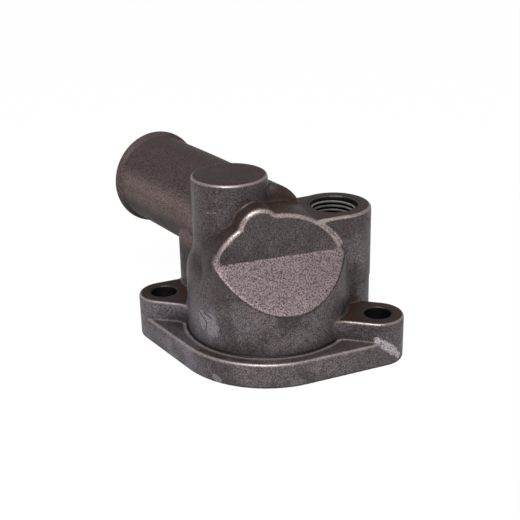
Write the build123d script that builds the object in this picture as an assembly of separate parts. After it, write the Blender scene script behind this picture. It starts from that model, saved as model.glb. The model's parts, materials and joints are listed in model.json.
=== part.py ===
from build123d import *
import os
from math import cos, radians, sin, tan

os.makedirs("parts", exist_ok=True)

# Flange with two ears. The bolt line is X, the sealing face is Z 0, the origin is the chamber axis.
bolt_spacing = 75.0
bolt_hole_d = 9.0
ear_r = 8.65
flange_margin = 4.7
ledge_z = 8.9
ear_z = 15.7
waist_r = 6.0
ledge_round = 1.0
ear_round = 0.9
base_chamfer = 0.7

# Chamber
body_r = 27.5
body_draft = 1.3
body_top_z = 38.3
shoulder_r = 9.0
wall = 4.2
mouth_chamfer = 0.8
wall_gap = 0.1

# Arch that closes the chamber towards the spigot
arch_inset = 2.8
arch_z = 27.1
arch_side = -0.65
arch_back = 6.0

# The two facets on the front of the chamber, which meet in a level crease
facet_azimuth = -55.7
facet_inset = 14.0
facet_slope = 47.7
crease_drop = 1.0
facet_side_inset = 5.9
rim_round = 1.8
facet_round = 2.0

# Half-round lump at the upper left of the arch
lump_r = 7.1
lump_side = -6.3
lump_z = 47.1

# Hose spigot
spigot_azimuth = 140.5
spigot_z = 41.55
spigot_r = 16.05
spigot_root_r = 15.55
spigot_start = -1.2
spigot_start_round = 2.5
spigot_end = 74.9
hose_land = 30.0
bead_back = 1.6
bead_r = 17.55
bead_sides = 12

# Blank boss
blank_x = -11.8
blank_y = -1.5
blank_r = 12.55
blank_top_z = 60.8
blank_chamfer = 0.65

# Sensor boss, its slot-shaped top runs to the arch
sensor_x = 19.5
sensor_y = 14.4
sensor_r = 12.55
sensor_top_z = 47.45
sensor_chamfer = 0.8
sensor_foot_r = 12.35
sensor_step_z = 22.5
neck_azimuth = 221.0
neck_length = 13.0
neck_r = 12.1
thread_d = 16.0
thread_core_d = 14.4
thread_depth = 16.0
sink_extra = 0.3
probe_d = 12.0
probe_depth = 26.0

# Column under the spigot
column_along = 27.5
column_r = 15.3


def unit(azimuth):
    return Vector(cos(radians(azimuth)), sin(radians(azimuth)), 0)


def lift(z):
    return Vector(0, 0, z)


def rod(start, direction, radius, length):
    return extrude(Plane(origin=start, z_dir=direction) * Circle(radius), length)


def post(x, y, radius, bottom, top):
    return Pos(x, y, bottom) * extrude(Circle(radius), top - bottom)


def half_space(point, direction, across):
    return extrude(Plane(origin=point, z_dir=direction, x_dir=across) * Rectangle(240, 240), 120)


half = bolt_spacing / 2
flange_r = body_r + flange_margin
arch_r = body_r - arch_inset
facet_reach = body_r - facet_inset
crease_z = body_top_z - crease_drop
facet_half_width = body_r - facet_side_inset
spigot_dir = unit(spigot_azimuth)
facet_dir = unit(facet_azimuth)
side_dir = unit(facet_azimuth + 90)
taper = tan(radians(body_draft))
column_at = spigot_dir * column_along


def chamber_parts(radius, arch_radius, reach, soften, shoulder, top, crease, back):
    # Lower drum with shoulder and slanted facet, and the arch that ends in the upright facet
    drum = extrude(Circle(radius), 70, taper=body_draft)
    arch_start = facet_dir * 40 + side_dir * arch_side + lift(arch_z)
    arch = rod(arch_start, -facet_dir, arch_radius, 40 + back)
    arch &= Pos(0, 0, arch_z) * Box(200, 200, 80, align=(Align.CENTER, Align.CENTER, Align.MIN))
    arch &= drum
    below = Box(200, 200, top, align=(Align.CENTER, Align.CENTER, Align.MIN))
    low = soften((drum & below).edges().group_by(Axis.Z)[-1], shoulder)
    low += arch & below
    low -= half_space(facet_dir * reach + lift(crease), slope_dir, side_dir)
    arch -= half_space(facet_dir * reach + lift(crease), facet_dir, side_dir)
    return low, arch


# Outside of the chamber with rounded rims round both facets
slope_dir = facet_dir * sin(radians(facet_slope)) + lift(cos(radians(facet_slope)))
low, arch = chamber_parts(body_r, arch_r, facet_reach, fillet, shoulder_r, body_top_z, crease_z, arch_back)
slanted_edges = []
for edge in low.edges():
    middle = edge.position_at(0.5) - facet_dir * facet_reach - lift(crease_z)
    if abs(middle.dot(slope_dir)) < 0.02 and middle.Z < -0.3:
        slanted_edges.append(edge)
low = fillet(slanted_edges, facet_round)
front_plane = Plane(origin=facet_dir * facet_reach, x_dir=side_dir, z_dir=facet_dir)
front_outline = Pos(arch_side, arch_z) * Circle(arch_r)
front_outline &= Pos(0, crease_z - 1) * Rectangle(2 * facet_half_width, 60, align=(Align.CENTER, Align.MIN))
front_outline += Pos(lump_side, lump_z) * Circle(lump_r)
front = extrude(front_plane * front_outline, -facet_reach)
upright_edges = []
for edge in front.edges():
    middle = edge.position_at(0.5)
    if abs(middle.dot(facet_dir) - facet_reach) < 0.02 and middle.Z > crease_z - 0.9:
        upright_edges.append(edge)
front = fillet(upright_edges, rim_round)
arch -= half_space(facet_dir * (facet_reach - rim_round), facet_dir, side_dir)
body = low + arch + front

# Flange plate
with BuildSketch() as outline:
    with Locations((-half, 0), (half, 0)):
        Circle(ear_r)
    Circle(flange_r)
    make_hull()
plate = extrude(outline.sketch, ledge_z)
plate = fillet(plate.edges().group_by(Axis.Z)[-1], ledge_round)
plate = chamfer(plate.edges().group_by(Axis.Z)[0], base_chamfer)

# Ears with concave waists into the chamber
with BuildSketch() as ear_plan:
    with Locations((-half, 0), (half, 0)):
        Circle(ear_r)
    Rectangle(bolt_spacing, 2 * ear_r)
    Circle(body_r - ear_z * taper - wall_gap)
    waists = [v for v in ear_plan.vertices() if abs(abs(v.Y) - ear_r) < 0.3 and abs(v.X) < half - 1]
    fillet(waists, waist_r)
with BuildSketch() as foot_plan:
    with Locations((-half, 0)):
        Circle(ear_r)
    with Locations((column_at.X, column_at.Y)):
        Circle(column_r)
    make_hull()
ear_outline = ear_plan.sketch + (foot_plan.sketch & outline.sketch)
ears = Pos(0, 0, ledge_z / 2) * extrude(ear_outline, ear_z - ledge_z / 2)
ears = fillet(ears.edges().group_by(Axis.Z)[-1], ear_round)

# Spigot with its bead, and the column that carries it
spigot_plane = Plane(origin=spigot_dir * spigot_start + lift(spigot_z), z_dir=spigot_dir)
on_base = (Align.CENTER, Align.CENTER, Align.MIN)
cone_length = spigot_end - hose_land - spigot_start
spigot = spigot_plane * Cone(spigot_root_r, spigot_r, cone_length, align=on_base)
spigot += rod(spigot_dir * (spigot_end - hose_land) + lift(spigot_z), spigot_dir, spigot_r, hose_land)
start_point = spigot_dir * spigot_start + lift(spigot_z + spigot_root_r)
spigot = fillet(spigot.edges().sort_by_distance(start_point)[0], spigot_start_round)
bead_plane = Plane(origin=spigot_dir * (spigot_end - bead_back) + lift(spigot_z), z_dir=spigot_dir)
bead_section = Plane.XZ * Pos(spigot_r, 0) * RegularPolygon(bead_r - spigot_r, bead_sides)
spigot += bead_plane * revolve(bead_section, Axis.Z)
column = post(column_at.X, column_at.Y, column_r, 0, spigot_z)

# Blank boss
blank = post(blank_x, blank_y, blank_r, arch_z, blank_top_z)
blank = chamfer(blank.edges().group_by(Axis.Z)[-1], blank_chamfer)

# Sensor boss
neck = Pos(sensor_x, sensor_y) * Rot(0, 0, neck_azimuth) * Pos(neck_length / 2, 0)
neck *= Rectangle(neck_length, 2 * neck_r)
slot = Pos(sensor_x, sensor_y) * Circle(sensor_r) + neck
sensor = Pos(0, 0, sensor_step_z) * extrude(slot, sensor_top_z - sensor_step_z)
sensor = chamfer(sensor.edges().group_by(Axis.Z)[-1], sensor_chamfer)
sensor += post(sensor_x, sensor_y, sensor_foot_r, 0, sensor_step_z + 1)

solid = body + ears + column + spigot + blank + sensor + plate

# Hollow: chamber, spigot bore and the passage that rises through the column, open to the engine
inner_crease_z = crease_z - wall * (1 - sin(radians(facet_slope))) / cos(radians(facet_slope))
inner_low, inner_arch = chamber_parts(
    body_r - wall, arch_r - wall, facet_reach - wall, chamfer, shoulder_r - wall, body_top_z - wall,
    inner_crease_z, arch_back - wall)
inner = inner_low + inner_arch
bore_r = spigot_root_r - wall
inner += rod(spigot_dir * (spigot_start + wall) + lift(spigot_z), spigot_dir, bore_r, spigot_end)
passage_r = column_r - wall
passage = Pos(column_at.X, column_at.Y) * Circle(passage_r)
passage += Rot(0, 0, spigot_azimuth) * Pos(column_along / 2, 0) * Rectangle(column_along, 2 * passage_r)
inner += extrude(passage, spigot_z)
solid -= inner

# Mouth of the chamber in the sealing face
mouth_depth = mouth_chamfer + 1
solid -= Pos(0, 0, -1) * Cone(body_r - wall + mouth_depth, body_r - wall, mouth_depth, align=on_base)

# Sensor port with its countersink
solid -= post(sensor_x, sensor_y, thread_core_d / 2, sensor_top_z - thread_depth, sensor_top_z + 5)
sink = (thread_d - thread_core_d) / 2 + sink_extra
solid -= Pos(sensor_x, sensor_y, sensor_top_z - sink) * Cone(
    thread_core_d / 2, thread_core_d / 2 + 2 * sink, 2 * sink, align=on_base)
solid -= post(sensor_x, sensor_y, probe_d / 2, sensor_top_z - probe_depth, sensor_top_z)

# Bolt holes
for x in (-half, half):
    solid -= post(x, 0, bolt_hole_d / 2, -1, ear_z + 1)

export_step(solid, "parts/outlet_casting.step")
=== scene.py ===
import json
from math import cos, pi, radians, sin

import bmesh
import bpy
from mathutils import Matrix, Vector

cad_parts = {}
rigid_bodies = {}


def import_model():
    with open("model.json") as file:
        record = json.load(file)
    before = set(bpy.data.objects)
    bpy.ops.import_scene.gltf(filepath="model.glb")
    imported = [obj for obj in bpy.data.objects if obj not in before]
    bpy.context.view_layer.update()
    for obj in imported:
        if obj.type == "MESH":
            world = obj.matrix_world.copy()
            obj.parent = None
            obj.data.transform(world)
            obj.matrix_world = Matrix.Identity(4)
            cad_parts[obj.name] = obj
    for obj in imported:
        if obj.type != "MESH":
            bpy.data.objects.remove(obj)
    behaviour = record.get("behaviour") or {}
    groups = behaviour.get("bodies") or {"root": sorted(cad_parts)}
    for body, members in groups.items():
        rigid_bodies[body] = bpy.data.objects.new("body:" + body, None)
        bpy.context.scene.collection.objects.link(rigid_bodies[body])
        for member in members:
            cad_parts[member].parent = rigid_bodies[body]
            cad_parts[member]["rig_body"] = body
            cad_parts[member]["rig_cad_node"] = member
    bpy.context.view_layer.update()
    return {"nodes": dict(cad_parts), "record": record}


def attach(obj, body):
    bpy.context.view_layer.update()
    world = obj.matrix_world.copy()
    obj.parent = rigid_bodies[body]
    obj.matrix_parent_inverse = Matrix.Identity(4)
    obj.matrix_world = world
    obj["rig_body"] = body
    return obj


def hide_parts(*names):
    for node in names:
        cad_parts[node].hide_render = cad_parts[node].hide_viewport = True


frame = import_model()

bl_info = {
    "name": "Coolant outlet casting",
    "version": (1, 0, 0),
    "blender": (4, 5, 0),
    "location": "View3D > Sidebar > Outlet",
    "description": "Dresses the cast coolant outlet and sets up its stage",
    "category": "Object",
}

MM = 0.001
CASTING = "outlet_casting"
MOUNTS = {mount["name"]: mount for mount in frame["record"]["mounts"]}
PORT = Vector(MOUNTS["sensor_port"]["pos_m"])
PORT_CORE_R = MOUNTS["sensor_port"]["dims"]["r_mm"] * MM
PORT_LENGTH = MOUNTS["sensor_port"]["dims"]["length_mm"] * MM
# Turn and slope of the slanted facet in degrees
FACET_AZIMUTH = -55.7
FACET_SLOPE = 47.7
# Heights of the casting's level edges in mm
LEDGE_TOP = 8.9
EAR_TOP = 15.7
SENSOR_TOP = 47.45
BLANK_TOP = 60.8


class OutletSettings(bpy.types.PropertyGroup):
    """Sizes and colours of the outlet's finish and of its stage"""

    grain_step: bpy.props.FloatProperty(
        name="Surface step", description="Width of the cells that the cast skin is rebuilt with",
        default=0.42 * MM, min=0.2 * MM, max=2 * MM, unit="LENGTH")
    skin_triangles: bpy.props.IntProperty(
        name="Skin triangles", description="Most triangles that the casting keeps", default=190000)
    thread_major: bpy.props.FloatProperty(
        name="Thread diameter", description="Major diameter of the sensor thread",
        default=16.0 * MM, unit="LENGTH")
    thread_pitch: bpy.props.FloatProperty(
        name="Thread pitch", description="Rise of the sensor thread in one turn", default=1.5 * MM, unit="LENGTH")
    metal: bpy.props.StringProperty(
        name="Cast metal", description="Colour of the bare cast skin", default="#615858")
    metal_dark: bpy.props.StringProperty(
        name="Dulled metal", description="Colour of the duller patches of the skin", default="#453D3C")
    metal_pale: bpy.props.StringProperty(
        name="Pale metal", description="Colour of the paler patches of the skin", default="#7A727A")
    oil: bpy.props.StringProperty(
        name="Oil film", description="Brown film that settled on level faces", default="#3E2E28")
    rust: bpy.props.StringProperty(
        name="Rust stain", description="Stain of old coolant in the corners", default="#4A3022")
    bright: bpy.props.StringProperty(
        name="Scraped metal", description="Bare metal where the skin is scraped off", default="#E4DEDD")
    lens: bpy.props.FloatProperty(name="Lens", description="Focal length of the camera in mm", default=69.23)
    floor: bpy.props.StringProperty(name="Floor", description="Colour of floor and backdrop", default="#FFFFFF")


def linear(hex_colour):
    """sRGB hex to the linear RGBA that nodes take"""
    channels = [int(hex_colour[i:i + 2], 16) / 255 for i in (1, 3, 5)]
    return tuple(c / 12.92 if c <= 0.04045 else ((c + 0.055) / 1.055) ** 2.4 for c in channels) + (1.0,)


def add_node(tree, kind, inputs=None, output=0, **settings):
    """Adds a node with its settings, fills its sockets with values or links, and gives back one output"""
    node = tree.nodes.new(kind)
    for name, value in settings.items():
        setattr(node, name, value)
    for name, value in (inputs or {}).items():
        if isinstance(value, bpy.types.NodeSocket):
            tree.links.new(value, node.inputs[name])
        else:
            node.inputs[name].default_value = value
    return node.outputs[output] if node.outputs else None


def new_material(name):
    """An empty node material"""
    material = bpy.data.materials.new(name)
    material.use_nodes = True
    material.node_tree.nodes.clear()
    return material


def deselect():
    """Leaves edit mode and clears the selection"""
    if bpy.context.object and bpy.context.object.mode != "OBJECT":
        bpy.ops.object.mode_set(mode="OBJECT")
    bpy.ops.object.select_all(action="DESELECT")


def make_active(piece):
    """Selects one object alone"""
    deselect()
    piece.select_set(True)
    bpy.context.view_layer.objects.active = piece


def apply_modifier(piece, kind, **settings):
    """Adds a modifier with its settings and applies it"""
    make_active(piece)
    modifier = piece.modifiers.new(kind.title(), kind)
    for name, value in settings.items():
        setattr(modifier, name, value)
    bpy.ops.object.modifier_apply(modifier=modifier.name)


def place_in_mesh(piece):
    """Puts the piece's place, turn and scale into its mesh"""
    make_active(piece)
    bpy.ops.object.transform_apply(location=True, rotation=True, scale=True)


def select_verts(piece, wanted):
    """Selects the vertices whose place passes a test, in edit mode"""
    mesh = bmesh.from_edit_mesh(piece.data)
    for v in mesh.verts:
        v.select = wanted(v.co)
    mesh.select_flush_mode()
    bmesh.update_edit_mesh(piece.data)


NOISE = "ShaderNodeTexNoise"
STEP = "ShaderNodeMapRange"
MATH = "ShaderNodeMath"
VECTOR = "ShaderNodeVectorMath"
MIX = "ShaderNodeMix"
OUTPUT = "ShaderNodeOutputMaterial"

# Width of one blotch where the noise has scale 1
BLOTCH = 0.5

# Noise patterns of the skin: width of a blotch in mm, detail, roughness.
# The dents of blasting grit are about 0.1 mm wide and too fine to show in the render,
# so grit and chips are drawn about twice as coarse.
PATTERNS = {
    "patches": (7.0, 3.0, 0.5),
    "clouds": (2.6, 2.0, 0.5),
    "grit": (0.21, 1.5, 0.6),
    "specks": (0.7, 2.0, 0.6),
    "chips": (0.23, 2.0, 0.65),
    "dents": (0.9, 2.0, 0.6),
    "ragged": (0.8, 3.0, 0.65),
}

# Smooth steps: name, source, from, to, value at the start, value at the end. Places are in mm.
# A source is a pattern, a place, a part of the normal, or how open the corner is.
MASKS = (
    # Tones and grain of the metal
    ("brighter", "patches", 0.42, 0.58, 0.0, 1.0),
    ("lilac_low", "z", 36.0, 14.0, 0.0, 0.7),
    ("lilac_patch", "patches", 0.38, 0.6, 0.2, 1.0),
    ("lilac_left", "x", 4.0, -12.0, 0.2, 1.0),
    ("pale_spots", "clouds", 0.52, 0.74, 0.0, 0.4),
    ("fine_grain", "grit", 0.34, 0.66, 0.48, 1.55),
    ("speck_grain", "specks", 0.3, 0.7, -0.1, 0.1),
    ("rim_grain", "grit", 0.34, 0.66, 0.75, 1.25),
    ("chip_grain", "chips", 0.36, 0.64, 0.3, 2.0),
    # Slanted and upright facet, and what stands above them. The upright facet gets painted shade
    ("sloping", "slanted", 0.88, 0.992, 0.0, 1.0),
    ("above_foot", "z", 21.0, 22.0, 0.0, 1.0),
    ("upright", "ahead", 0.985, 0.997, 0.0, 1.0),
    ("over_crease", "z", 36.5, 37.5, 0.0, 1.0),
    ("up_high", "z", 38.0, 49.0, 0.0, 1.0),
    # Brown film on level faces
    ("level", "up", 0.9, 0.99, 0.0, 1.0),
    ("film_low", "z", 17.0, 46.0, 0.86, 0.3),
    ("film_ledge", "z", 10.0, 13.0, 0.2, 1.0),
    # Painted shade on the shoulder of the drum and on the front of the right ear
    ("sloped_up", "up", 0.1, 0.6, 0.0, 1.0),
    ("shoulder_z", "z", 26.0, 34.0, 0.0, 0.75),
    ("right_ear_shade", "x", 29.0, 36.0, 0.0, 0.45),
    # Painted shade in the crease at the foot of the drum, and the painted highlight beside it
    ("groove_low", "z", 8.7, 8.9, 0.0, 1.0),
    ("groove_high", "z", 9.8, 9.4, 0.0, 0.9),
    ("groove_out", "radius", 28.0, 27.8, 0.0, 1.0),
    ("foot_in", "radius", 27.8, 28.1, 0.0, 1.0),
    ("foot_out", "radius", 29.3, 28.7, 0.0, 1.0),
    ("foot_low", "z", 8.4, 8.6, 0.0, 1.0),
    ("foot_high", "z", 9.3, 9.1, 0.0, 1.0),
    # Painted shade on the left wall of the drum, and a band of painted shade below the slanted facet
    ("left_side", "ahead", 0.88, 0.6, 0.0, 1.0),
    ("left_z", "z", 16.0, 30.0, 0.0, 0.75),
    ("drum_reach", "reach", -2.0, 3.0, 0.0, 1.0),
    ("facet_edge_in", "slanted", 0.78, 0.88, 0.0, 1.0),
    ("facet_edge_out", "slanted", 0.97, 0.92, 0.0, 1.0),
    ("facet_edge_z", "z", 36.5, 35.0, 0.0, 1.0),
    ("facet_edge_reach", "reach", 8.0, 12.0, 0.0, 0.6),
    ("not_sloping", "slanted", 0.93, 0.88, 0.0, 1.0),
    # Painted shade on the undersides; far behind the drum a warmer tone with painted light high up, and painted shade
    # on the spigot's lower side and at its bead end
    ("underside_shade", "up", 0.0, -0.4, 0.0, 0.9),
    ("far_reach", "reach", -4.0, -24.0, 0.0, 0.75),
    ("far_z", "z", 28.0, 35.0, 0.0, 1.0),
    ("far_low", "z", 17.0, 24.0, 0.0, 1.0),
    ("bead_end_shade", "reach", -60.0, -68.0, 0.0, 0.7),
    ("spigot_down", "up", 0.45, 0.0, 0.0, 1.0),
    # Rim round the upright facet, rubbed and with a painted highlight, and the band of painted shade behind it
    ("rim_turn", "ahead", 0.1, 0.7, 0.0, 1.0),
    ("rim_end", "ahead", 0.99, 0.9, 0.0, 1.0),
    ("rim_depth", "reach", 11.0, 11.6, 0.0, 1.0),
    ("rim_z", "z", 37.3, 38.2, 0.0, 1.0),
    ("band_turn", "ahead", 0.4, 0.1, 0.0, 1.0),
    ("band_depth", "reach", 2.0, 7.0, 0.0, 0.55),
    # Edges, rubbed and with a painted highlight, and the breakup of wear and glint along them
    ("turned", "up", 0.1, 0.6, 0.0, 1.0),
    ("not_level", "up", 0.975, 0.87, 0.0, 1.0),
    ("wear_and_glint_breakup", "grit", 0.3, 0.62, 0.55, 1.0),
    # Dirt and painted shade in the corners
    ("near_dirt_and_shade", "near", 0.45, 0.9, 0.9, 0.0),
    ("wide_dirt_and_shade", "wide", 0.3, 0.9, 0.8, 0.0),
)
# Level edges that are rubbed and carry a painted highlight, and the lowest X where they do, in mm
RUBBED_AND_LIT_EDGES = ((LEDGE_TOP, -60.0), (EAR_TOP, -60.0), (SENSOR_TOP, 6.0), (BLANK_TOP, -60.0))

# Products of masks
PRODUCTS = (
    ("lilac", ("lilac_low", "lilac_patch", "lilac_left")),
    ("ground", ("sloping", "above_foot")),
    ("far_back_tone_and_light", ("far_reach", "far_z")),
    ("spigot_underside_shade", ("far_reach", "far_low", "spigot_down")),
    ("upright_facet_shade", ("upright", "over_crease")),
    ("film", ("level", "film_low", "film_ledge")),
    ("shoulder_shade", ("sloped_up", "shoulder_z", "not_sloping")),
    ("facet_edge_shade", ("facet_edge_in", "facet_edge_out", "facet_edge_z", "facet_edge_reach", "above_foot")),
    ("left_wall_shade", ("left_side", "left_z", "drum_reach")),
    ("groove_shade", ("groove_low", "groove_high", "groove_out")),
    ("foot_highlight", ("foot_in", "foot_out", "foot_low", "foot_high", "wear_and_glint_breakup")),
    ("rim", ("rim_turn", "rim_end", "rim_depth", "rim_z", "wear_and_glint_breakup")),
    ("band", ("band_turn", "band_depth", "rim_z")),
    ("edges", ("turned", "not_level", "at_edge", "wear_and_glint_breakup")),
)

# Layers from the skin outwards: mask, strength, colour, and the grain that shows in it.
# The one without a strength and a colour scales what lies below it by the grain.
LAYERS = (
    ("brighter", 1.0, "metal", None),
    ("lilac", 1.0, "#68626C", None),
    ("pale_spots", 1.0, "metal_pale", None),
    # Warmer tone with painted light, high up far behind the drum
    ("far_back_tone_and_light", 1.0, "#B0908A", None),
    ("grain", None, None, None),
    ("ground", 1.0, "#807173", "chip_grain"),
    # Painted shade on the upright facet
    ("upright_facet_shade", 0.5, "#4A4242", "grain"),
    ("up_high", 0.65, "#4C4444", "grain"),
    # Painted shade on the drum's shoulder
    ("shoulder_shade", 1.0, "#453B3A", "grain"),
    # Painted shade on the left wall of the drum
    ("left_wall_shade", 1.0, "#4A403F", "grain"),
    # Band of painted shade below the slanted facet
    ("facet_edge_shade", 1.0, "#302826", "grain"),
    # Painted shade on the spigot's lower side
    ("spigot_underside_shade", 1.0, "#2E2625", "grain"),
    # Painted shade at the bead end
    ("bead_end_shade", 1.0, "#3A3030", "grain"),
    # Painted shade on the front of the right ear
    ("right_ear_shade", 1.0, "#453E40", "grain"),
    # Painted shade in the band behind the rim
    ("band", 1.0, "#4A3A33", "grain"),
    ("film", 1.0, "oil", None),
    # Painted shade on the undersides
    ("underside_shade", 1.0, "#2E2726", "grain"),
    # Edges: rubbed metal with a painted highlight
    ("edges", 0.7, "#BCACAA", None),
    # Rim: rubbed metal with a painted highlight
    ("rim", 0.8, "#C2B0AC", "rim_grain"),
    # Dirt and painted shade in tight corners
    ("near_dirt_and_shade", 1.0, "#1E1817", None),
    # Dirt and painted shade in wide hollows
    ("wide_dirt_and_shade", 1.0, "#352C2B", None),
    # Painted shade in the crease at the drum's foot
    ("groove_shade", 1.0, "#0E0A09", None),
    # Painted highlight on the ledge beside the crease
    ("foot_highlight", 0.6, "#AC9C98", None),
    # Painted shade on the left shoulder
    ("left_shoulder_shade", 0.6, "#3C3332", "grain"),
    ("stains", 0.55, "rust", None),
    ("scars", 0.65, "#8C8488", "rim_grain"),
    ("scratches", 0.3, "bright", None),
    ("scrapes", 0.6, "#AEA6AC", "chip_grain"),
    ("cracks", 0.85, "#1B1717", None),
    ("pits", 0.9, "#1B1717", None),
)

# Marks: start and end in mm, radius in mm, softness of the edge
MARKS = {
    "stains": (
        ((2.5, 3.5, 51.5), (6.0, 7.5, 51.5), 2.2, 1.2),
        ((27.6, 3.6, 16.0), (29.5, 5.4, 16.6), 1.0, 1.4),
        ((-28.5, 1.0, 15.7), (-28.0, 9.0, 16.5), 1.6, 1.2),
        ((25.5, -12.0, 15.7), (29.5, -7.0, 15.7), 0.6, 1.0),
    ),
    # Painted shade on the left shoulder
    "left_shoulder_shade": (
        ((-22.5, -11.0, 36.0), (-15.0, -18.5, 39.5), 3.6, 1.5),
    ),
    "scrapes": (
        ((38.8, -8.5, 10.0), (41.0, -7.8, 8.4), 0.6, 0.6),
        ((41.2, -7.7, 8.2), (43.9, -5.6, 5.2), 1.0, 0.5),
        ((43.9, -5.6, 5.2), (45.3, -3.6, 2.8), 0.6, 0.6),
    ),
    "scars": (
        ((-12.6, -24.0, 18.2), (-12.0, -24.3, 16.0), 2.0, 0.4),
        ((-16.2, -21.8, 19.4), (-15.2, -22.4, 15.6), 1.0, 0.5),
        ((-9.2, -30.9, 2.2), (-8.0, -31.2, 1.4), 0.7, 0.6),
    ),
    "cracks": (
        ((-17.2, -20.9, 20.2), (-13.9, -23.2, 17.4), 0.13, 1.2),
        ((-13.9, -23.2, 17.4), (-14.4, -23.0, 14.6), 0.13, 1.2),
        ((-14.9, -22.5, 20.6), (-12.0, -24.3, 19.6), 0.12, 1.2),
        ((-12.3, -19.8, 3.5), (-12.0, -20.0, 3.9), 0.2, 1.0),
    ),
    "scratches": (
        ((-15.7, -13.4, 51.2), (-12.5, -14.0, 51.7), 0.08, 1.0),
        ((5.6, -15.9, 42.4), (13.9, -10.3, 42.7), 0.08, 1.0),
        ((0.5, -19.0, 43.6), (7.0, -15.0, 41.0), 0.07, 1.0),
    ),
    "pits": (
        ((24.0, -11.0, 29.0), (24.1, -10.9, 29.3), 0.35, 0.6),
        ((26.1, -5.8, 33.1), (26.2, -5.6, 33.4), 0.45, 0.6),
        ((23.2, -12.0, 27.6), (23.3, -11.9, 27.8), 0.3, 0.6),
        ((24.6, -10.3, 28.2), (24.7, -10.2, 28.4), 0.28, 0.6),
        ((22.6, -13.2, 28.6), (22.7, -13.1, 28.8), 0.25, 0.6),
        ((31.6, 11.5, 43.5), (31.6, 11.5, 44.1), 0.3, 0.6),
    ),
}
# How far the ragged edge of a mark swings out and in, and where the mark ends, both in its own radii
RAGGED_SWING = 0.8
MARK_END = 1.3
# Reach of the dirt and painted shade in corners in mm
CORNERS = (("near", 1.4), ("wide", 8.0))
# Holes with painted shade: x, y, radius and top in mm, and how much of the skin the painted shade covers
SHADED_HOLES = ((-37.5, 0, 4.9, 16.5), (37.5, 0, 4.9, 16.5), (19.5, 14.4, 8.9, 48.1))
HOLE_SHADE_COVER = 0.93
HOLE_SHADE_COLOUR = "#0B0A0C"
# Share of metal in the shine. The rest is dull oxide, and all of it where the skin is matt.
METALLIC = 0.6
# Roughness of the skin from patch to patch, and how much smoother it is where rubbed and rougher where matt
ROUGHNESS = (0.48, 0.58)
RUBBED_SMOOTHER = 0.15
MATT_ROUGHER = 0.35
# Relief of the blasted skin, and how deep dents and cracks are beside its grit
RELIEF = 0.1 * MM
DENT_DEPTH = 0.5
CRACK_DEPTH = 1.6


def mark_mask(tree, place, marks, ragged):
    """1 on marks between two places in mm each, 0 off them, with a ragged edge"""
    total = 0.0
    for start, end, radius, soft in marks:
        along = Vector(end) - Vector(start)
        offset = add_node(tree, VECTOR, {0: place, 1: start}, operation="SUBTRACT")
        share = add_node(tree, VECTOR, {0: offset, 1: along / along.length_squared}, "Value", operation="DOT_PRODUCT")
        share = add_node(tree, "ShaderNodeClamp", {"Value": share})
        nearest = add_node(tree, VECTOR, {0: along, "Scale": share}, operation="SCALE")
        distance = add_node(tree, VECTOR, {0: offset, 1: nearest}, "Value", operation="DISTANCE")
        distance = add_node(tree, MATH, {0: ragged, 1: radius, 2: distance}, operation="MULTIPLY_ADD")
        mask = add_node(tree, STEP, {
            "Value": distance, "From Min": radius * (MARK_END + soft), "From Max": radius * MARK_END},
            interpolation_type="SMOOTHSTEP")
        total = add_node(tree, MATH, {0: total, 1: mask}, operation="MAXIMUM")
    return total


def skin_sources(tree, place):
    """Places, parts of the normal, patterns and corners that the masks start from"""
    normal = add_node(tree, "ShaderNodeNewGeometry", output="Normal")
    azimuth, slope = radians(FACET_AZIMUTH), radians(FACET_SLOPE)
    ahead = (cos(azimuth), sin(azimuth), 0)
    slanted = (sin(slope) * cos(azimuth), sin(slope) * sin(azimuth), cos(slope))
    flat = add_node(tree, VECTOR, {0: place, 1: (1, 1, 0)}, operation="MULTIPLY")
    values = {"radius": add_node(tree, VECTOR, {0: flat}, "Value", operation="LENGTH")}
    for name, vector, direction in (
            ("up", normal, (0, 0, 1)), ("ahead", normal, ahead), ("slanted", normal, slanted),
            ("reach", place, ahead), ("x", place, (1, 0, 0)), ("z", place, (0, 0, 1))):
        values[name] = add_node(tree, VECTOR, {0: vector, 1: direction}, "Value", operation="DOT_PRODUCT")
    for name, (size, detail, roughness) in PATTERNS.items():
        values[name] = add_node(tree, NOISE, {
            "Vector": place, "Scale": BLOTCH / size, "Detail": detail, "Roughness": roughness})
    for name, distance in CORNERS:
        values[name] = add_node(
            tree, "ShaderNodeAmbientOcclusion", {"Distance": distance * MM}, "AO", samples=6, only_local=True)
    return values


def rubbed_and_lit_bands(tree, values):
    """1 in a band just below each rubbed edge that carries a painted highlight"""
    bands = 0.0
    for height, lowest_x in RUBBED_AND_LIT_EDGES:
        band = 1.0
        for source, low, high in (("z", height - 1.5, height - 1.0), ("z", height + 0.1, height - 0.1),
                                  ("x", lowest_x - 1, lowest_x + 1)):
            mask = add_node(
                tree, STEP, {"Value": values[source], "From Min": low, "From Max": high},
                interpolation_type="SMOOTHSTEP")
            band = add_node(tree, MATH, {0: band, 1: mask}, operation="MULTIPLY")
        bands = add_node(tree, MATH, {0: bands, 1: band}, operation="MAXIMUM")
    return bands


def skin_values(tree, place):
    """The sources with every mask, product of masks and mark, by name"""
    values = skin_sources(tree, place)
    for name, source, low, high, to_low, to_high in MASKS:
        values[name] = add_node(tree, STEP, {
            "Value": values[source], "From Min": low, "From Max": high, "To Min": to_low, "To Max": to_high},
            interpolation_type="SMOOTHSTEP")
    values["at_edge"] = rubbed_and_lit_bands(tree, values)
    for name, factors in PRODUCTS:
        values[name] = 1.0
        for factor in factors:
            values[name] = add_node(tree, MATH, {0: values[name], 1: values[factor]}, operation="MULTIPLY")
    values["grain"] = add_node(tree, MATH, {0: values["fine_grain"], 1: values["speck_grain"]}, operation="ADD")
    ragged = add_node(
        tree, MATH, {0: values["ragged"], 1: 2 * RAGGED_SWING, 2: -RAGGED_SWING}, operation="MULTIPLY_ADD")
    for name, marks in MARKS.items():
        values[name] = mark_mask(tree, place, marks, ragged)
    return values


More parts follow.
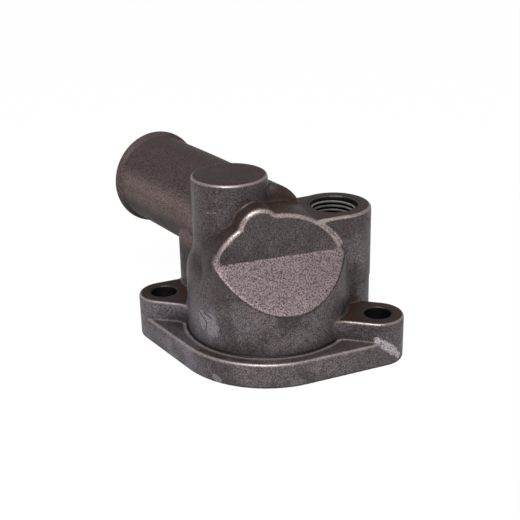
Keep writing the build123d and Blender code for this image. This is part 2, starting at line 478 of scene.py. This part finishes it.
def skin_colour(tree, values, settings):
    """The layers of the skin, one over the other"""
    skin = linear(settings.metal_dark)
    for name, strength, colour, grain in LAYERS:
        if strength is None:
            skin = add_node(tree, VECTOR, {0: skin, "Scale": values[name]}, operation="SCALE")
            continue
        colour = linear(colour if colour.startswith("#") else getattr(settings, colour))
        if grain:
            colour = add_node(tree, VECTOR, {0: colour[:3], "Scale": values[grain]}, operation="SCALE")
        factor = add_node(tree, MATH, {0: values[name], 1: strength}, operation="MULTIPLY")
        skin = add_node(tree, MIX, {0: factor, 6: skin, 7: colour}, 2, data_type="RGBA")
    return skin


def with_hole_shade(tree, place, height, skin):
    """The skin's colour with painted shade in the bolt holes and down the port"""
    for x, y, radius, top in SHADED_HOLES:
        ring = add_node(tree, VECTOR, {0: place, 1: (x, y, 0)}, operation="SUBTRACT")
        ring = add_node(tree, VECTOR, {0: ring, 1: (1, 1, 0)}, operation="MULTIPLY")
        ring = add_node(tree, VECTOR, {0: ring}, "Value", operation="LENGTH")
        inside = HOLE_SHADE_COVER
        for value, low, high in ((ring, radius + 0.25, radius), (height, top, top - 1.2)):
            mask = add_node(
                tree, STEP, {"Value": value, "From Min": low, "From Max": high}, interpolation_type="SMOOTHSTEP")
            inside = add_node(tree, MATH, {0: inside, 1: mask}, operation="MULTIPLY")
        skin = add_node(tree, MIX, {0: inside, 6: skin, 7: linear(HOLE_SHADE_COLOUR)}, 2, data_type="RGBA")
    return skin


def skin_relief(tree, values):
    """Relief of the grit, with sunken cracks and pits"""
    height = add_node(tree, MATH, {0: values["dents"], 1: DENT_DEPTH, 2: values["grit"]}, operation="MULTIPLY_ADD")
    sunken = add_node(tree, MATH, {0: values["cracks"], 1: values["pits"]}, operation="MAXIMUM")
    height = add_node(tree, MATH, {0: sunken, 1: -CRACK_DEPTH, 2: height}, operation="MULTIPLY_ADD")
    return add_node(tree, "ShaderNodeBump", {"Strength": 0.5, "Distance": RELIEF, "Height": height})


def highest(tree, values, names):
    """The highest of some masks"""
    top = 0.0
    for name in names:
        top = add_node(tree, MATH, {0: top, 1: values[name]}, operation="MAXIMUM")
    return top


def cast_aluminium(settings):
    """Sand-cast aluminium alloy, grit blasted, then dulled by years of heat and coolant.
    The eye sees a fine dark and light grain, a brown film on level faces and bright edges. Painted shade and painted
    highlights stand in for light in several zones."""
    material = new_material("cast_aluminium")
    tree = material.node_tree
    where = add_node(tree, "ShaderNodeTexCoord", output="Object")
    place = add_node(tree, VECTOR, {0: where, "Scale": 1 / MM}, operation="SCALE")
    values = skin_values(tree, place)
    skin = with_hole_shade(tree, place, values["z"], skin_colour(tree, values, settings))

    # Smoother on rubbed places and painted highlights, matt on the undersides and at the end of the spigot
    roughness = add_node(tree, STEP, {
        "Value": values["clouds"], "From Min": 0.3, "From Max": 0.7,
        "To Min": ROUGHNESS[0], "To Max": ROUGHNESS[1]}, interpolation_type="SMOOTHSTEP")
    rubbed_and_highlit = highest(tree, values, ("edges", "rim", "scrapes"))
    roughness = add_node(tree, MATH, {0: rubbed_and_highlit, 1: -RUBBED_SMOOTHER, 2: roughness}, operation="MULTIPLY_ADD")
    matt = highest(tree, values, ("spigot_underside_shade", "underside_shade", "bead_end_shade"))
    roughness = add_node(tree, MATH, {0: matt, 1: MATT_ROUGHER, 2: roughness}, operation="MULTIPLY_ADD")
    metallic = add_node(tree, MATH, {0: matt, 1: -METALLIC, 2: METALLIC}, operation="MULTIPLY_ADD")
    surface = add_node(tree, "ShaderNodeBsdfPrincipled", {
        "Metallic": metallic, "Base Color": skin, "Roughness": roughness, "Normal": skin_relief(tree, values)})
    add_node(tree, OUTPUT, {"Surface": surface})
    return material


def cut_thread_metal():
    """Aluminium alloy cut by a tap: smooth bright crests, with painted shade darkening the grooves.
    The tap's chatter marks are finer than the render shows, so they are drawn 0.25 mm wide."""
    material = new_material("tapped_aluminium")
    tree = material.node_tree
    where = add_node(tree, "ShaderNodeTexCoord", output="Object")
    place = add_node(tree, VECTOR, {0: where, "Scale": 1 / MM}, operation="SCALE")
    tone = add_node(tree, NOISE, {"Vector": place, "Scale": BLOTCH / 1.2, "Detail": 3.0})
    skin = add_node(tree, MIX, {0: tone, 6: linear("#DCD6D2"), 7: linear("#A8A09C")}, 2, data_type="RGBA")
    ring = add_node(tree, VECTOR, {0: where, 1: (PORT.x, PORT.y, 0)}, operation="SUBTRACT")
    ring = add_node(tree, VECTOR, {0: ring, 1: (1 / MM, 1 / MM, 0)}, operation="MULTIPLY")
    ring = add_node(tree, VECTOR, {0: ring}, "Value", operation="LENGTH")
    core = PORT_CORE_R / MM
    # Painted shade towards the roots of the thread
    groove_shade = add_node(
        tree, STEP, {"Value": ring, "From Min": core + 0.1, "From Max": core + 0.45}, interpolation_type="SMOOTHSTEP")
    skin = add_node(tree, MIX, {0: groove_shade, 6: skin, 7: linear("#14100F")}, 2, data_type="RGBA")
    chatter = add_node(tree, NOISE, {"Vector": place, "Scale": BLOTCH / 0.25, "Detail": 2.0})
    bump = add_node(tree, "ShaderNodeBump", {"Strength": 0.2, "Distance": 0.05 * MM, "Height": chatter})
    surface = add_node(tree, "ShaderNodeBsdfPrincipled", {
        "Metallic": 0.9, "Roughness": 0.36, "Base Color": skin, "Normal": bump})
    add_node(tree, OUTPUT, {"Surface": surface})
    return material


# Places that the mould rounded off more: x, y, z and radius in mm, rounds of smoothing
SOFT_PLACES = (
    # Valley between the blank boss, the lump and the drum
    (-21.5, -11.0, 36.0, 9.0, 30),
    (-14.0, -16.0, 40.5, 6.5, 24),
    # Left and right end of the rim
    (-11.2, -22.7, 37.0, 4.6, 21),
    (23.6, 0.4, 39.0, 3.6, 12),
    # Top of the sensor boss where it runs into the arch
    (16.0, -0.5, 47.6, 2.6, 10),
    (13.5, 3.6, 47.8, 2.6, 10),
    (11.0, 7.6, 47.8, 2.6, 10),
    # Corner between the drum and the sensor boss
    (26.8, 4.1, 19.0, 3.0, 12),
    (26.7, 4.1, 24.0, 3.0, 12),
    (26.6, 4.1, 29.0, 3.0, 12),
    (26.4, 4.1, 34.0, 3.0, 12),
    # Foot of the blank boss on the lump and on the arch
    (-9.5, -16.5, 46.0, 3.0, 8),
    (2.5, -10.5, 50.5, 3.0, 8),
)


def soften(piece, x, y, z, radius, rounds):
    """Smooths the skin round a place, less towards the edge of the patch"""
    make_active(piece)
    centre = Vector((x, y, z)) * MM
    for share in (1.0, 0.8, 0.6):
        reach = radius * share * MM
        bpy.ops.object.mode_set(mode="EDIT")
        bpy.ops.mesh.select_all(action="DESELECT")
        select_verts(piece, lambda place: (place - centre).length < reach)
        bpy.ops.mesh.vertices_smooth(factor=0.5, repeat=rounds // 3 + 1)
        bpy.ops.object.mode_set(mode="OBJECT")


class OUTLET_OT_casting(bpy.types.Operator):
    """Rebuilds the casting with the soft edges of a cast skin, and opens its sensor port to the thread's width"""

    bl_idname = "outlet.casting"
    bl_label = "Make the casting"

    def execute(self, context):
        settings = context.scene.outlet
        make_active(frame["nodes"][CASTING])
        bpy.ops.object.duplicate()
        casting = context.object
        casting.name = "cast_outlet"
        bpy.ops.object.parent_clear(type="CLEAR_KEEP_TRANSFORM")
        # The copy is a piece of its own, without the marks of the CAD node
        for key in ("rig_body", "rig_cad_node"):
            del casting[key]
        bpy.ops.object.mode_set(mode="EDIT")
        bpy.ops.mesh.select_all(action="SELECT")
        bpy.ops.mesh.remove_doubles(threshold=0.002 * MM)
        bpy.ops.object.mode_set(mode="OBJECT")

        # Port at the thread's major diameter, from its bottom to above the boss
        cut_length = PORT_LENGTH + 4 * MM
        cut_bottom = PORT.z - PORT_LENGTH / 2
        deselect()
        bpy.ops.mesh.primitive_cylinder_add(
            vertices=96, radius=settings.thread_major / 2, depth=cut_length,
            location=(PORT.x, PORT.y, cut_bottom + cut_length / 2))
        cutter = context.object
        apply_modifier(casting, "BOOLEAN", operation="DIFFERENCE", object=cutter, solver="EXACT")
        bpy.data.objects.remove(cutter)

        apply_modifier(casting, "REMESH", mode="VOXEL", voxel_size=settings.grain_step, use_smooth_shade=True)
        apply_modifier(casting, "SMOOTH", factor=0.5, iterations=3)
        # Each face of the rebuilt skin has four corners, so it is two triangles
        count = len(casting.data.polygons) * 2
        apply_modifier(casting, "DECIMATE", decimate_type="COLLAPSE", ratio=min(1.0, settings.skin_triangles / count))
        for x, y, z, radius, rounds in SOFT_PLACES:
            soften(casting, x, y, z, radius, rounds)
        make_active(casting)
        bpy.ops.object.shade_smooth()
        casting.data.materials.clear()
        casting.data.materials.append(cast_aluminium(settings))
        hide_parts(CASTING)
        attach(casting, "root")
        return {"FINISHED"}


# Widths of an ISO thread's ridge at its root and crest, as shares of the pitch
ROOT_SHARE = 7 / 8
CREST_SHARE = 1 / 4
# How far a thin lip at its root's lower corner reaches into the wall, and its last turn up into the countersink
THREAD_LIP = 0.25 * MM
THREAD_RUN_OUT = 0.7 * MM


class OUTLET_OT_thread(bpy.types.Operator):
    """Winds the ridge of the sensor thread round the inside of the port"""

    bl_idname = "outlet.thread"
    bl_label = "Cut the sensor thread"

    def execute(self, context):
        settings = context.scene.outlet
        major_r = settings.thread_major / 2
        pitch = settings.thread_pitch
        depth = major_r - PORT_CORE_R
        root_width = pitch * ROOT_SHARE
        crest_width = pitch * CREST_SHARE
        turns = int((PORT_LENGTH - root_width) / pitch)
        top_z = PORT.z + PORT_LENGTH / 2 + THREAD_RUN_OUT
        start_z = top_z - root_width / 2 - turns * pitch

        # The ridge's section, upright beside the port's axis
        deselect()
        bpy.ops.mesh.primitive_plane_add(size=1, location=(PORT.x, PORT.y, start_z))
        ridge = context.object
        ridge.name = "sensor_thread"
        bpy.ops.object.mode_set(mode="EDIT")
        bpy.ops.mesh.select_all(action="SELECT")
        bpy.ops.transform.resize(value=(depth, root_width, 1))
        bpy.ops.transform.rotate(value=-pi / 2, orient_axis="X", center_override=(PORT.x, PORT.y, start_z))
        bpy.ops.transform.translate(value=(PORT_CORE_R + depth / 2, 0, 0))
        half_depth = PORT_CORE_R + depth / 2
        select_verts(ridge, lambda place: place.x < half_depth)
        crest = (PORT.x + PORT_CORE_R, PORT.y, start_z)
        bpy.ops.transform.resize(value=(1, 1, crest_width / root_width), center_override=crest)
        select_verts(ridge, lambda place: place.x > half_depth and place.z < 0)
        bpy.ops.mesh.extrude_region_move(TRANSFORM_OT_translate={"value": (THREAD_LIP, 0, 0)})
        bpy.ops.mesh.select_all(action="SELECT")
        bpy.ops.mesh.delete(type="ONLY_FACE")
        bpy.ops.object.mode_set(mode="OBJECT")

        # Wound into a ridge with closed ends
        apply_modifier(
            ridge, "SCREW", axis="Z", angle=2 * pi, screw_offset=pitch, iterations=turns, steps=96, render_steps=96,
            use_smooth_shade=False)
        bpy.ops.object.mode_set(mode="EDIT")
        bpy.ops.mesh.select_all(action="DESELECT")
        bpy.ops.mesh.select_non_manifold()
        bpy.ops.mesh.edge_face_add()
        bpy.ops.mesh.select_all(action="SELECT")
        bpy.ops.mesh.normals_make_consistent(inside=False)
        bpy.ops.object.mode_set(mode="OBJECT")
        place_in_mesh(ridge)
        bpy.ops.object.shade_smooth_by_angle(angle=radians(25))
        ridge.data.materials.append(cut_thread_metal())
        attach(ridge, "root")
        return {"FINISHED"}


# Stage: radius of the floor in metres, strength of the world,
# and the share of plain white that the floor shows in place of its own light and shadow
FLOOR_RADIUS = 20.0
WORLD_STRENGTH = 0.32
GLOW_SHARE = 0.98

# Key lamp, high up and a little left of the camera: turn and rise in degrees, metres, watts
KEY_AZIMUTH = -86
KEY_ELEVATION = 58
KEY_DISTANCE = 0.9
KEY_SIZE = (0.36, 0.28)
KEY_POWER = 7.0
KEY_AIM = (0, 0, 30 * MM)


def white_paper(settings):
    """Matt white paper sweep. It shows white behind the object and keeps a faint share of the shadow."""
    material = new_material("white_paper")
    tree = material.node_tree
    paper = add_node(tree, "ShaderNodeBsdfDiffuse", {"Color": linear(settings.floor)})
    glow = add_node(tree, "ShaderNodeEmission", {"Color": linear(settings.floor), "Strength": 1.0})
    share = 0.0
    for name in ("Is Camera Ray", "Is Glossy Ray", "Is Transmission Ray"):
        ray = add_node(tree, "ShaderNodeLightPath", output=name)
        share = add_node(tree, MATH, {0: share, 1: ray}, operation="MAXIMUM")
    share = add_node(tree, MATH, {0: share, 1: GLOW_SHARE}, operation="MULTIPLY")
    mixed = add_node(tree, "ShaderNodeMixShader", {0: share, 1: paper, 2: glow})
    add_node(tree, OUTPUT, {"Surface": mixed})
    return material


# Camera, solved from the casting's own circles and corners, in degrees
CAMERA_AZIMUTH = 16.225
CAMERA_ELEVATION = 22.770
CAMERA_ROLL = -1.268
CAMERA_DISTANCE = 335.34 * MM
AIM = Vector((0, 0, 25.12)) * MM
AIM_SHIFT = (-2.438 * MM, 5.406 * MM)
# Width of the camera's sensor in mm
SENSOR_WIDTH = 36.0


def camera_axes():
    """Right, up and back of the camera"""
    turn, rise, roll = radians(CAMERA_AZIMUTH), radians(CAMERA_ELEVATION), radians(CAMERA_ROLL)
    back = Vector((sin(turn) * cos(rise), -cos(turn) * cos(rise), sin(rise)))
    right = Vector((cos(turn), sin(turn), 0))
    up = back.cross(right)
    return right * cos(roll) + up * sin(roll), up * cos(roll) - right * sin(roll), back


def add_key_lamp():
    """Softbox that points at the casting"""
    turn, rise = radians(KEY_AZIMUTH), radians(KEY_ELEVATION)
    data = bpy.data.lights.new("key", "AREA")
    data.shape = "RECTANGLE"
    data.size, data.size_y = KEY_SIZE
    data.energy = KEY_POWER
    lamp = bpy.data.objects.new("key", data)
    bpy.context.scene.collection.objects.link(lamp)
    place = Vector((cos(turn) * cos(rise), sin(turn) * cos(rise), sin(rise))) * KEY_DISTANCE
    lamp.location = place
    lamp.rotation_euler = (place - Vector(KEY_AIM)).to_track_quat("Z", "Y").to_euler()


def add_camera(settings):
    """The photograph's camera, as the scene's own"""
    right, up, back = camera_axes()
    aim = AIM + right * AIM_SHIFT[0] + up * AIM_SHIFT[1]
    data = bpy.data.cameras.new("camera")
    data.lens = settings.lens
    data.sensor_width = SENSOR_WIDTH
    data.clip_start = 0.01
    data.clip_end = 50
    camera = bpy.data.objects.new("camera", data)
    bpy.context.scene.collection.objects.link(camera)
    axes = Matrix((right, up, back)).transposed().to_4x4()
    camera.matrix_world = Matrix.Translation(aim + back * CAMERA_DISTANCE) @ axes
    bpy.context.scene.camera = camera


class OUTLET_OT_stage(bpy.types.Operator):
    """Lays the white sweep and sets the lamp, the world and the camera"""

    bl_idname = "outlet.stage"
    bl_label = "Set the stage"

    def execute(self, context):
        settings = context.scene.outlet
        deselect()
        bpy.ops.mesh.primitive_circle_add(vertices=64, radius=FLOOR_RADIUS, fill_type="NGON", location=(0, 0, 0))
        floor = context.object
        floor.name = "floor"
        floor.data.materials.append(white_paper(settings))

        world = bpy.data.worlds.new("studio")
        context.scene.world = world
        world.use_nodes = True
        tree = world.node_tree
        tree.nodes.clear()
        dim = add_node(tree, "ShaderNodeBackground", {"Color": linear("#FFFFFF"), "Strength": WORLD_STRENGTH})
        add_node(tree, "ShaderNodeOutputWorld", {"Surface": dim})

        add_camera(settings)
        add_key_lamp()
        context.scene.view_settings.view_transform = "Standard"
        return {"FINISHED"}


class OUTLET_PT_panel(bpy.types.Panel):
    """Lists the outlet's steps and settings"""

    bl_label = "Coolant outlet"
    bl_idname = "OUTLET_PT_panel"
    bl_space_type = "VIEW_3D"
    bl_region_type = "UI"
    bl_category = "Outlet"

    def draw(self, context):
        settings = context.scene.outlet
        for name in OutletSettings.__annotations__:
            self.layout.prop(settings, name)
        for step in STEPS:
            self.layout.operator(step.bl_idname)


STEPS = (OUTLET_OT_casting, OUTLET_OT_thread, OUTLET_OT_stage)
CLASSES = (OutletSettings,) + STEPS + (OUTLET_PT_panel,)


def register():
    """Adds the classes and the scene's settings"""
    for cls in CLASSES:
        bpy.utils.register_class(cls)
    bpy.types.Scene.outlet = bpy.props.PointerProperty(type=OutletSettings)


def unregister():
    """Removes them again"""
    del bpy.types.Scene.outlet
    for cls in reversed(CLASSES):
        bpy.utils.unregister_class(cls)


def main():
    """Builds the pieces in order"""
    register()
    bpy.ops.outlet.casting()
    bpy.ops.outlet.thread()
    bpy.ops.outlet.stage()
    bpy.context.view_layer.update()


if __name__ == "__main__":
    main()
